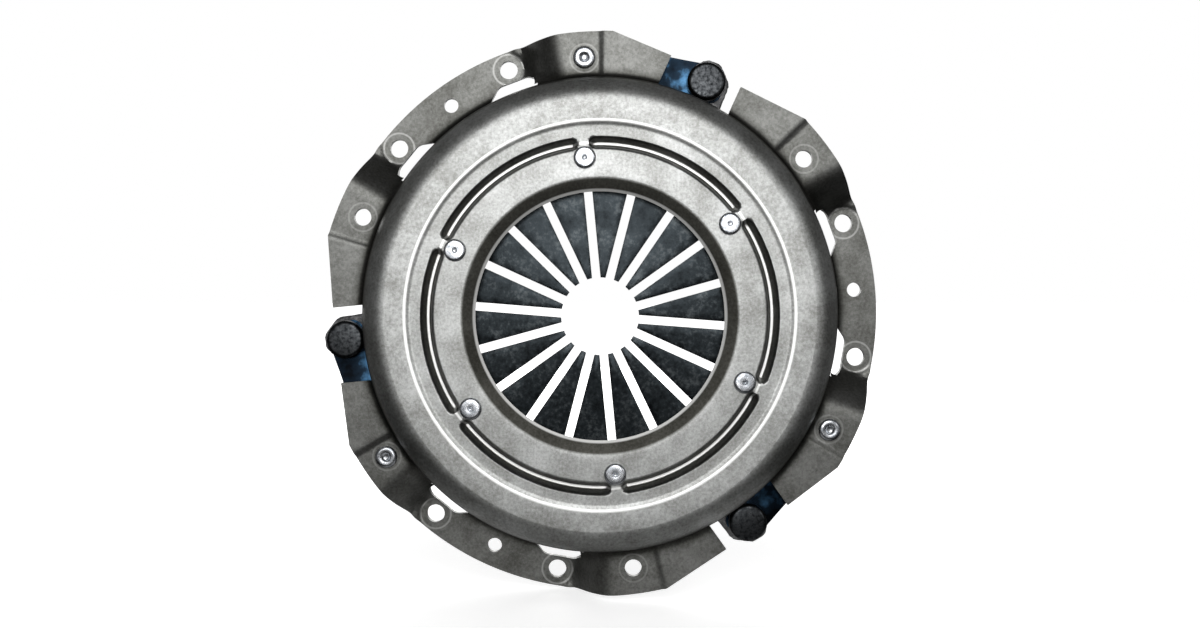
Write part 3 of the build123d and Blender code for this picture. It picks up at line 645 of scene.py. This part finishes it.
def plateLug(k):
    plan = lugPlan
    bm = bmesh.new()
    face = bm.faces.new([bm.verts.new(Vector((r, -plan["face"], s)) * mm) for r, s in plan["rim"]])
    block = bmesh.ops.extrude_face_region(bm, geom=[face])["geom"]
    bmesh.ops.translate(bm, vec=Vector((0, -(plan["back"] - plan["face"]) * mm, 0)), verts=onlyVerts(block))
    bmesh.ops.recalc_face_normals(bm, faces=bm.faces)
    upright = [e for e in bm.edges if abs((e.verts[0].co - e.verts[1].co).normalized().y) > 0.9]
    bmesh.ops.bevel(bm, geom=upright, affect="EDGES", offset=plan["uprightRounding"] * mm, segments=3,
                    profile=0.5, material=-1)
    sharp = [e for e in bm.edges if e.calc_face_angle(0) > radians(50)]
    bmesh.ops.bevel(bm, geom=sharp, affect="EDGES", offset=plan["edgeRounding"] * mm, segments=3,
                    profile=0.5, material=-1)
    # slices keep the big faces fine enough for the cast skin
    for step in range(1, plan["slices"]):
        for (start, width), across in ((plan["outward"], Vector((1, 0, 0))), (plan["sideways"], Vector((0, 0, 1)))):
            bmesh.ops.bisect_plane(bm, geom=bm.verts[:] + bm.edges[:] + bm.faces[:],
                                   plane_co=across * ((start + step * width) * mm), plane_no=across)
    bmesh.ops.triangulate(bm, faces=bm.faces)
    bm.normal_update()
    # each lug's skin is its own, and the flat spot round its rivet stays as turned
    lumpPitch, lumpShift = plan["lumps"]
    sandPitch, sandShift = plan["sand"]
    for v in bm.verts:
        here = v.co * 1000
        spot = abs(v.normal.y) > 0.9 and hypot(here.x - layout["strapR"], here.z) < plan["spotR"]
        if not spot:
            lump = noise.noise(here * lumpPitch + Vector((k * lumpShift, 0, 0))) * plan["rough"] * 2.0
            sand = noise.noise(here * sandPitch + Vector((0, k * sandShift, 0))) * plan["rough"]
            v.co += v.normal * (lump + sand) * mm
    turnAboutAxis(bm, layout["padTurn"] + layout["lugTurn"] + layout["padStep"] * k, bm.verts)
    return newObject("plateLug%d" % (k + 1), bm)


cast, ground = castIron(), groundIron()
ring = plateRing()
smoothBelow(ring.data, platePlan["smoothAngle"])
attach(ring, "pressure_plate")
for k in range(3):
    lug = plateLug(k)
    lug.data.shade_smooth()
    lug.data.materials.append(cast)
    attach(lug, "pressure_plate")
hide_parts("pressure_plate")
print("plate done")


# zinc-plated upset steel on the small rivets: bright, with a faintly mottled grey
zincPlan = dict(name="zincPlatedSteel", color="#D4D6DA", dull="#8F9398", roughness=0.24, spot=1.8)
# black oxide on the large lug rivets: near black, with greyer worn spots
oxidePlan = dict(name="blackOxideSteel", color="#46484A", dull="#1B1D1F", roughness=0.30, spot=1.6)


def rivetSteel(plan):
    material, tree, shader = newMaterial(plan["name"], 1.0, plan["roughness"])
    place = addNode(tree, "ShaderNodeTexCoord").outputs["Object"]
    cloud = addNode(tree, "ShaderNodeTexNoise", {"Vector": place, "Scale": 1 / (plan["spot"] * mm),
                                                 "Detail": 4.0, "Roughness": 0.6})
    tone = addNode(tree, "ShaderNodeValToRGB", {"Fac": cloud.outputs["Fac"]},
                   ((0.36, plan["dull"]), (0.6, plan["color"])))
    tree.links.new(tone.outputs[0], shader.inputs["Base Color"])
    rough = addNode(tree, "ShaderNodeMapRange", {
        "Value": cloud.outputs["Fac"], "From Min": 0.3, "From Max": 0.7,
        "To Min": plan["roughness"] + 0.08, "To Max": plan["roughness"] - 0.05})
    tree.links.new(rough.outputs[0], shader.inputs["Roughness"])
    bump = addNode(tree, "ShaderNodeBump", {"Height": cloud.outputs["Fac"], "Strength": 0.2,
                                            "Distance": 0.08 * mm})
    tree.links.new(bump.outputs[0], shader.inputs["Normal"])
    return material


def turnedRivet(name, corners, r, angle, steps=64):
    bm = profileLine(corners)
    spinRound(bm, steps)
    bmesh.ops.translate(bm, vec=toRow(r, angle, 0), verts=bm.verts)
    return newObject(name, bm, 50)


# each rivet's section is drawn from the middle of one head to the middle of the other
fulcrumRivetPlan = dict(seat=23.93, headT=2.3, head=8.0, neck=3.3, hole=3.0, land=37.4, sheet=2.6, cap=4.3,
                        capT=1.6)


def fulcrumRivet(k):
    p = fulcrumRivetPlan
    low = p["seat"] - p["headT"]
    under, top = p["land"] - p["sheet"], p["land"] + p["capT"]
    corners = [
        (0, low + 0.55, 0, 0),
        (2.0, low + 0.55, 0.3, 0),
        (2.6, low + 0.35, 0.2, 0),
        (5.3, low + 0.35, 0.2, 0),
        (5.7, low, 0.2, 0),
        (p["head"] - 0.25, low, 0.5, 0),
        (p["head"], low + 1.0, 0.4, 0),
        (p["head"], p["seat"], 0.2, 0),
        (p["neck"], p["seat"], 0.2, 0),
        (p["neck"], under, 0.2, 0),
        (p["hole"], under, 0, 0),
        (p["hole"], p["land"], 0, 0),
        (p["cap"], p["land"], 0.15, 0),
        (p["cap"], top - 0.55, 0.5, 0),
        (p["cap"] - 0.75, top, 0.4, 0),
        (1.0, top + 0.05, 0.15, 0),
        (0.6, top - 0.6, 0.1, 0),
        (0, top - 0.7, 0, 0),
    ]
    angle = layout["padTurn"] + layout["rivetTurn"] + layout["rivetStep"] * k
    return turnedRivet("fulcrumRivet%d" % (k + 1), corners, layout["rivetR"], angle)


earRivetPlan = dict(strapLow=17.8, earTop=21.6, head=6.25, headT=2.4, neck=3.0, cap=4.45, capT=1.5)


def earRivet(k):
    p = earRivetPlan
    low, top = p["strapLow"] - p["headT"], p["earTop"] + p["capT"]
    corners = [
        (0, low + 0.75, 0, 0),
        (1.7, low + 0.6, 0.4, 0),
        (2.7, low, 0.4, 0),
        (4.2, low + 0.25, 0.6, 0),
        (5.8, low + 1.2, 0.8, 0),
        (p["head"], p["strapLow"] - 0.5, 0.3, 0),
        (p["head"], p["strapLow"], 0.1, 0),
        (p["neck"], p["strapLow"], 0, 0),
        (p["neck"], p["earTop"], 0, 0),
        (p["cap"] - 0.1, p["earTop"], 0.1, 0),
        (p["cap"], top - 0.7, 0.4, 0),
        (p["cap"] - 1.0, top, 0.5, 0),
        (1.9, top - 0.1, 0.4, 0),
        (1.1, top - 0.95, 0.3, 0),
        (0, top - 1.05, 0, 0),
    ]
    angle = layout["padTurn"] + layout["lugTurn"] + layout["strapTurn"] + layout["padStep"] * k
    return turnedRivet("earRivet%d" % (k + 1), corners, layout["strapR"], angle)


lugRivetPlan = dict(lugFace=5.4, strapTop=15.6, head=7.65, headT=5.2, neck=3.5, cap=4.2, capT=0.8)


def lugRivet(k):
    p = lugRivetPlan
    low, top = p["lugFace"] - p["capT"], p["strapTop"] + p["headT"]
    corners = [
        (0, low + 2.2, 0, 0),
        (1.9, low + 2.0, 0.3, 0),
        (2.3, low + 0.4, 0.4, 0),
        (2.9, low, 0.3, 0),
        (3.7, low + 0.1, 0.3, 0),
        (p["cap"], p["lugFace"], 0.2, 0),
        (p["neck"], p["lugFace"], 0, 0),
        (p["neck"], p["strapTop"], 0, 0),
        (p["head"] - 0.3, p["strapTop"], 0.2, 0),
        (p["head"], p["strapTop"] + 0.5, 0.2, 0),
        (p["head"], top - 1.0, 0.6, 0),
        (p["head"] - 1.1, top, 0.6, 0),
        (0, top + 0.12, 0, 0),
    ]
    angle = layout["padTurn"] + layout["lugTurn"] + layout["padStep"] * k
    return turnedRivet("lugRivet%d" % (k + 1), corners, layout["strapR"], angle)


zinc, oxide = rivetSteel(zincPlan), rivetSteel(oxidePlan)
for k in range(6):
    rivet = fulcrumRivet(k)
    rivet.data.materials.append(zinc)
    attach(rivet, "cover")
    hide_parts("fulcrum_rivet_%d" % (k + 1))
for k in range(3):
    rivet = earRivet(k)
    rivet.data.materials.append(zinc)
    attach(rivet, "cover")
    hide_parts("ear_rivet_%d" % (k + 1))
    rivet = lugRivet(k)
    rivet.data.materials.append(oxide)
    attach(rivet, "pressure_plate")
    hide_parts("lug_rivet_%d" % (k + 1))
print("rivets done")


# leaf straps: rolled spring strip, blued by heat, which gives dark blue with lighter cloudy patches
strapPlan = dict(thick=0.6, width=15.0, flat=10.0, end=6.8, lugBack=14.4, earLow=17.8, corner=4.0, slices=48,
                 lugHole=7.1, earHole=6.1, holeDepth=60.0, straight=0.25, smoothAngle=40, middleH=16,
                 blue=((0.40, "#0C0F13"), (0.56, "#17222D"), (0.72, "#426787")), roughness=0.28,
                 cloud=12.0, fine=0.8, fineDepth=0.03)


def bluedSteel():
    plan = strapPlan
    material, tree, shader = newMaterial("bluedSpringStrip", 1.0, plan["roughness"])
    place = addNode(tree, "ShaderNodeTexCoord").outputs["Object"]
    cloud = addNode(tree, "ShaderNodeTexNoise", {"Vector": place, "Scale": 1 / (plan["cloud"] * mm),
                                                 "Detail": 4.0, "Roughness": 0.6})
    tone = addNode(tree, "ShaderNodeValToRGB", {"Fac": cloud.outputs["Fac"]}, plan["blue"])
    tree.links.new(tone.outputs[0], shader.inputs["Base Color"])
    fine = addNode(tree, "ShaderNodeTexNoise", {"Vector": place, "Scale": 1 / (plan["fine"] * mm), "Detail": 2.0})
    bump = addNode(tree, "ShaderNodeBump", {"Height": fine.outputs["Fac"], "Strength": 0.15,
                                            "Distance": plan["fineDepth"] * mm})
    tree.links.new(bump.outputs[0], shader.inputs["Normal"])
    return material


def strapLeaf(k, layer):
    plan = strapPlan
    strapR, strapTurn, flat = layout["strapR"], layout["strapTurn"], plan["flat"]
    length = 2 * strapR * sin(radians(strapTurn / 2))
    low = plan["lugBack"] + layer * plan["thick"]
    x0, x1, w = -plan["end"], length + plan["end"], plan["width"] / 2
    bm = bmesh.new()
    rim = [bm.verts.new(Vector((x, 0, z)) * mm) for x, z in ((x0, -w), (x1, -w), (x1, w), (x0, w))]
    bm.faces.new(rim)
    bmesh.ops.bevel(bm, geom=rim, affect="VERTICES", offset=plan["corner"] * mm, segments=6, profile=0.5,
                    material=-1)
    for step in range(1, plan["slices"]):
        x = x0 + (x1 - x0) * step / plan["slices"]
        bmesh.ops.bisect_plane(bm, geom=bm.verts[:] + bm.edges[:] + bm.faces[:], plane_co=(x * mm, 0, 0),
                               plane_no=(1, 0, 0))
    block = bmesh.ops.extrude_face_region(bm, geom=bm.faces[:])["geom"]
    bmesh.ops.translate(bm, vec=Vector((0, -plan["thick"] * mm, 0)), verts=onlyVerts(block))
    # flat at both ends, and a soft S from the lug up to the ear
    for v in bm.verts:
        share = min(1.0, max(0.0, (v.co.x / mm - flat) / (length - 2 * flat)))
        share = plan["straight"] * share + (1 - plan["straight"]) * share * share * (3 - 2 * share)
        v.co.y -= (low + (plan["earLow"] - plan["lugBack"]) * share) * mm
    bmesh.ops.recalc_face_normals(bm, faces=bm.faces)
    leaf = newObject("strap%dLeaf%d" % (k + 1, layer + 1), bm)
    bm = bmesh.new()
    for x, hole in ((0, plan["lugHole"]), (length, plan["earHole"])):
        bmesh.ops.create_cone(bm, cap_ends=True, segments=40, radius1=hole / 2 * mm, radius2=hole / 2 * mm,
                              depth=plan["holeDepth"] * mm,
                              matrix=Matrix.Translation((x * mm, 0, 0)) @ Matrix.Rotation(pi / 2, 4, "X"))
    cutAway(leaf, bm)
    lug = layout["padTurn"] + layout["lugTurn"] + layout["padStep"] * k
    turn = Matrix.Rotation(-radians(lug + 90 + strapTurn / 2), 4, "Y")
    leaf.data.transform(Matrix.Translation(toRow(strapR, lug, 0)) @ turn)
    smoothBelow(leaf.data, plan["smoothAngle"])
    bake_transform(leaf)
    return leaf


blued = bluedSteel()
for k in range(3):
    for layer, name in enumerate(("inner", "outer")):
        leaf = strapLeaf(k, layer)
        leaf.data.materials.append(blued)
        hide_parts("strap_%d_%s_leaf" % (k + 1, name))
print("straps done")


# floor, backdrop, lamps and camera: places and sizes in metres, the lens in mm, the tilt in degrees
stagePlan = dict(
    floorZ=-0.1146, floorHalf=8.0, distance=0.478, tilt=1.4, lens=34.4, white=1.0, around=0.12,
    paper="#FAFAFA", nearWhite=0.62, farWhite=1.2, nearR=0.10, farR=0.34, toneReach=0.5,
    tone=((0.15, "#D8D8D8"), (0.27, "#242424"), (0.45, "#242424"), (0.85, "#8C8C8C")),
    # before each side: one large softbox high up, a low one near the camera, and one at each hand,
    # each with its place, size and power
    lamps=(("keyFront", (0.0, -1.15, 0.42), 0.80, 6.6),
           ("lowFront", (0.0, -1.30, 0.02), 0.30, 1.5),
           ("leftFront", (-0.55, -1.05, 0.05), 0.40, 0.6),
           ("rightFront", (0.80, -0.95, 0.25), 0.50, 1.0),
           ("keyBack", (0.04, 1.15, 0.42), 0.80, 5.2),
           ("lowBack", (-0.10, 1.30, 0.02), 0.30, 0.9),
           ("leftBack", (0.45, 1.10, 0.05), 0.40, 0.6),
           ("rightBack", (-0.75, 0.95, 0.25), 0.50, 1.2)))


def whitePaper():
    # paper that is white to the camera and keeps a soft shadow, but stays a dull grey in the steel's reflections
    plan = stagePlan
    material, tree, shader = newMaterial("whitePaper", 0.0, 0.9)
    path = addNode(tree, "ShaderNodeLightPath")
    place = addNode(tree, "ShaderNodeTexCoord").outputs["Object"]
    far = addNode(tree, "ShaderNodeVectorMath", {0: place}, operation="LENGTH")
    glow = addNode(tree, "ShaderNodeMapRange", {
        "Value": far.outputs["Value"], "From Min": plan["nearR"], "From Max": plan["farR"],
        "To Min": plan["nearWhite"], "To Max": plan["farWhite"]}, interpolation_type="SMOOTHSTEP")
    seen = addNode(tree, "ShaderNodeMath", {0: glow.outputs[0], 1: path.outputs["Is Camera Ray"]},
                   operation="MULTIPLY")
    # painted light and shade, seen only in the steel's reflections: the paper is light at the part's foot, dark in
    # front of it and dull far away
    away = addNode(tree, "ShaderNodeMapRange", {"Value": far.outputs["Value"], "From Min": 0.0,
                                                "From Max": plan["toneReach"]})
    dull = addNode(tree, "ShaderNodeValToRGB", {"Fac": away.outputs[0]}, plan["tone"])
    tone = addNode(tree, "ShaderNodeMix", {"Factor": path.outputs["Is Camera Ray"], "A": dull.outputs[0],
                                           "B": hexColor(plan["paper"])}, data_type="RGBA")
    tree.links.new(tone.outputs["Result"], shader.inputs["Base Color"])
    shader.inputs["Emission Color"].default_value = (1, 1, 1, 1)
    tree.links.new(seen.outputs[0], shader.inputs["Emission Strength"])
    return material


def makeStage():
    plan = stagePlan
    bm = bmesh.new()
    bmesh.ops.create_grid(bm, x_segments=1, y_segments=1, size=plan["floorHalf"])
    floor = newObject("floor", bm)
    floor.location = (0, 0, plan["floorZ"])
    floor.data.materials.append(whitePaper())
    world = bpy.data.worlds.new("studio")
    world.use_nodes = True
    bpy.context.scene.world = world
    tree = world.node_tree
    back = tree.nodes["Background"]
    path = addNode(tree, "ShaderNodeLightPath")
    shade = addNode(tree, "ShaderNodeMix", {"Factor": path.outputs["Is Camera Ray"], "A": plan["around"],
                                            "B": plan["white"]}, data_type="FLOAT")
    back.inputs["Color"].default_value = (1, 1, 1, 1)
    tree.links.new(shade.outputs["Result"], back.inputs["Strength"])
    for name, place, size, power in plan["lamps"]:
        lamp = bpy.data.lights.new(name, "AREA")
        lamp.size = size
        lamp.energy = power
        obj = bpy.data.objects.new(name, lamp)
        obj.location = place
        obj.rotation_euler = (-Vector(place)).to_track_quat("-Z", "Y").to_euler()
        bpy.context.scene.collection.objects.link(obj)


def makeCamera():
    plan = stagePlan
    data = bpy.data.cameras.new("camera")
    data.lens = plan["lens"]
    data.clip_start = 0.01
    cam = bpy.data.objects.new("camera", data)
    tilt = radians(plan["tilt"])
    cam.location = (0, -plan["distance"] * cos(tilt), plan["distance"] * sin(tilt))
    cam.rotation_euler = (-cam.location).to_track_quat("-Z", "Y").to_euler()
    bpy.context.scene.collection.objects.link(cam)
    bpy.context.scene.camera = cam


makeStage()
makeCamera()
bpy.context.scene.view_settings.view_transform = "Standard"
print("stage done")
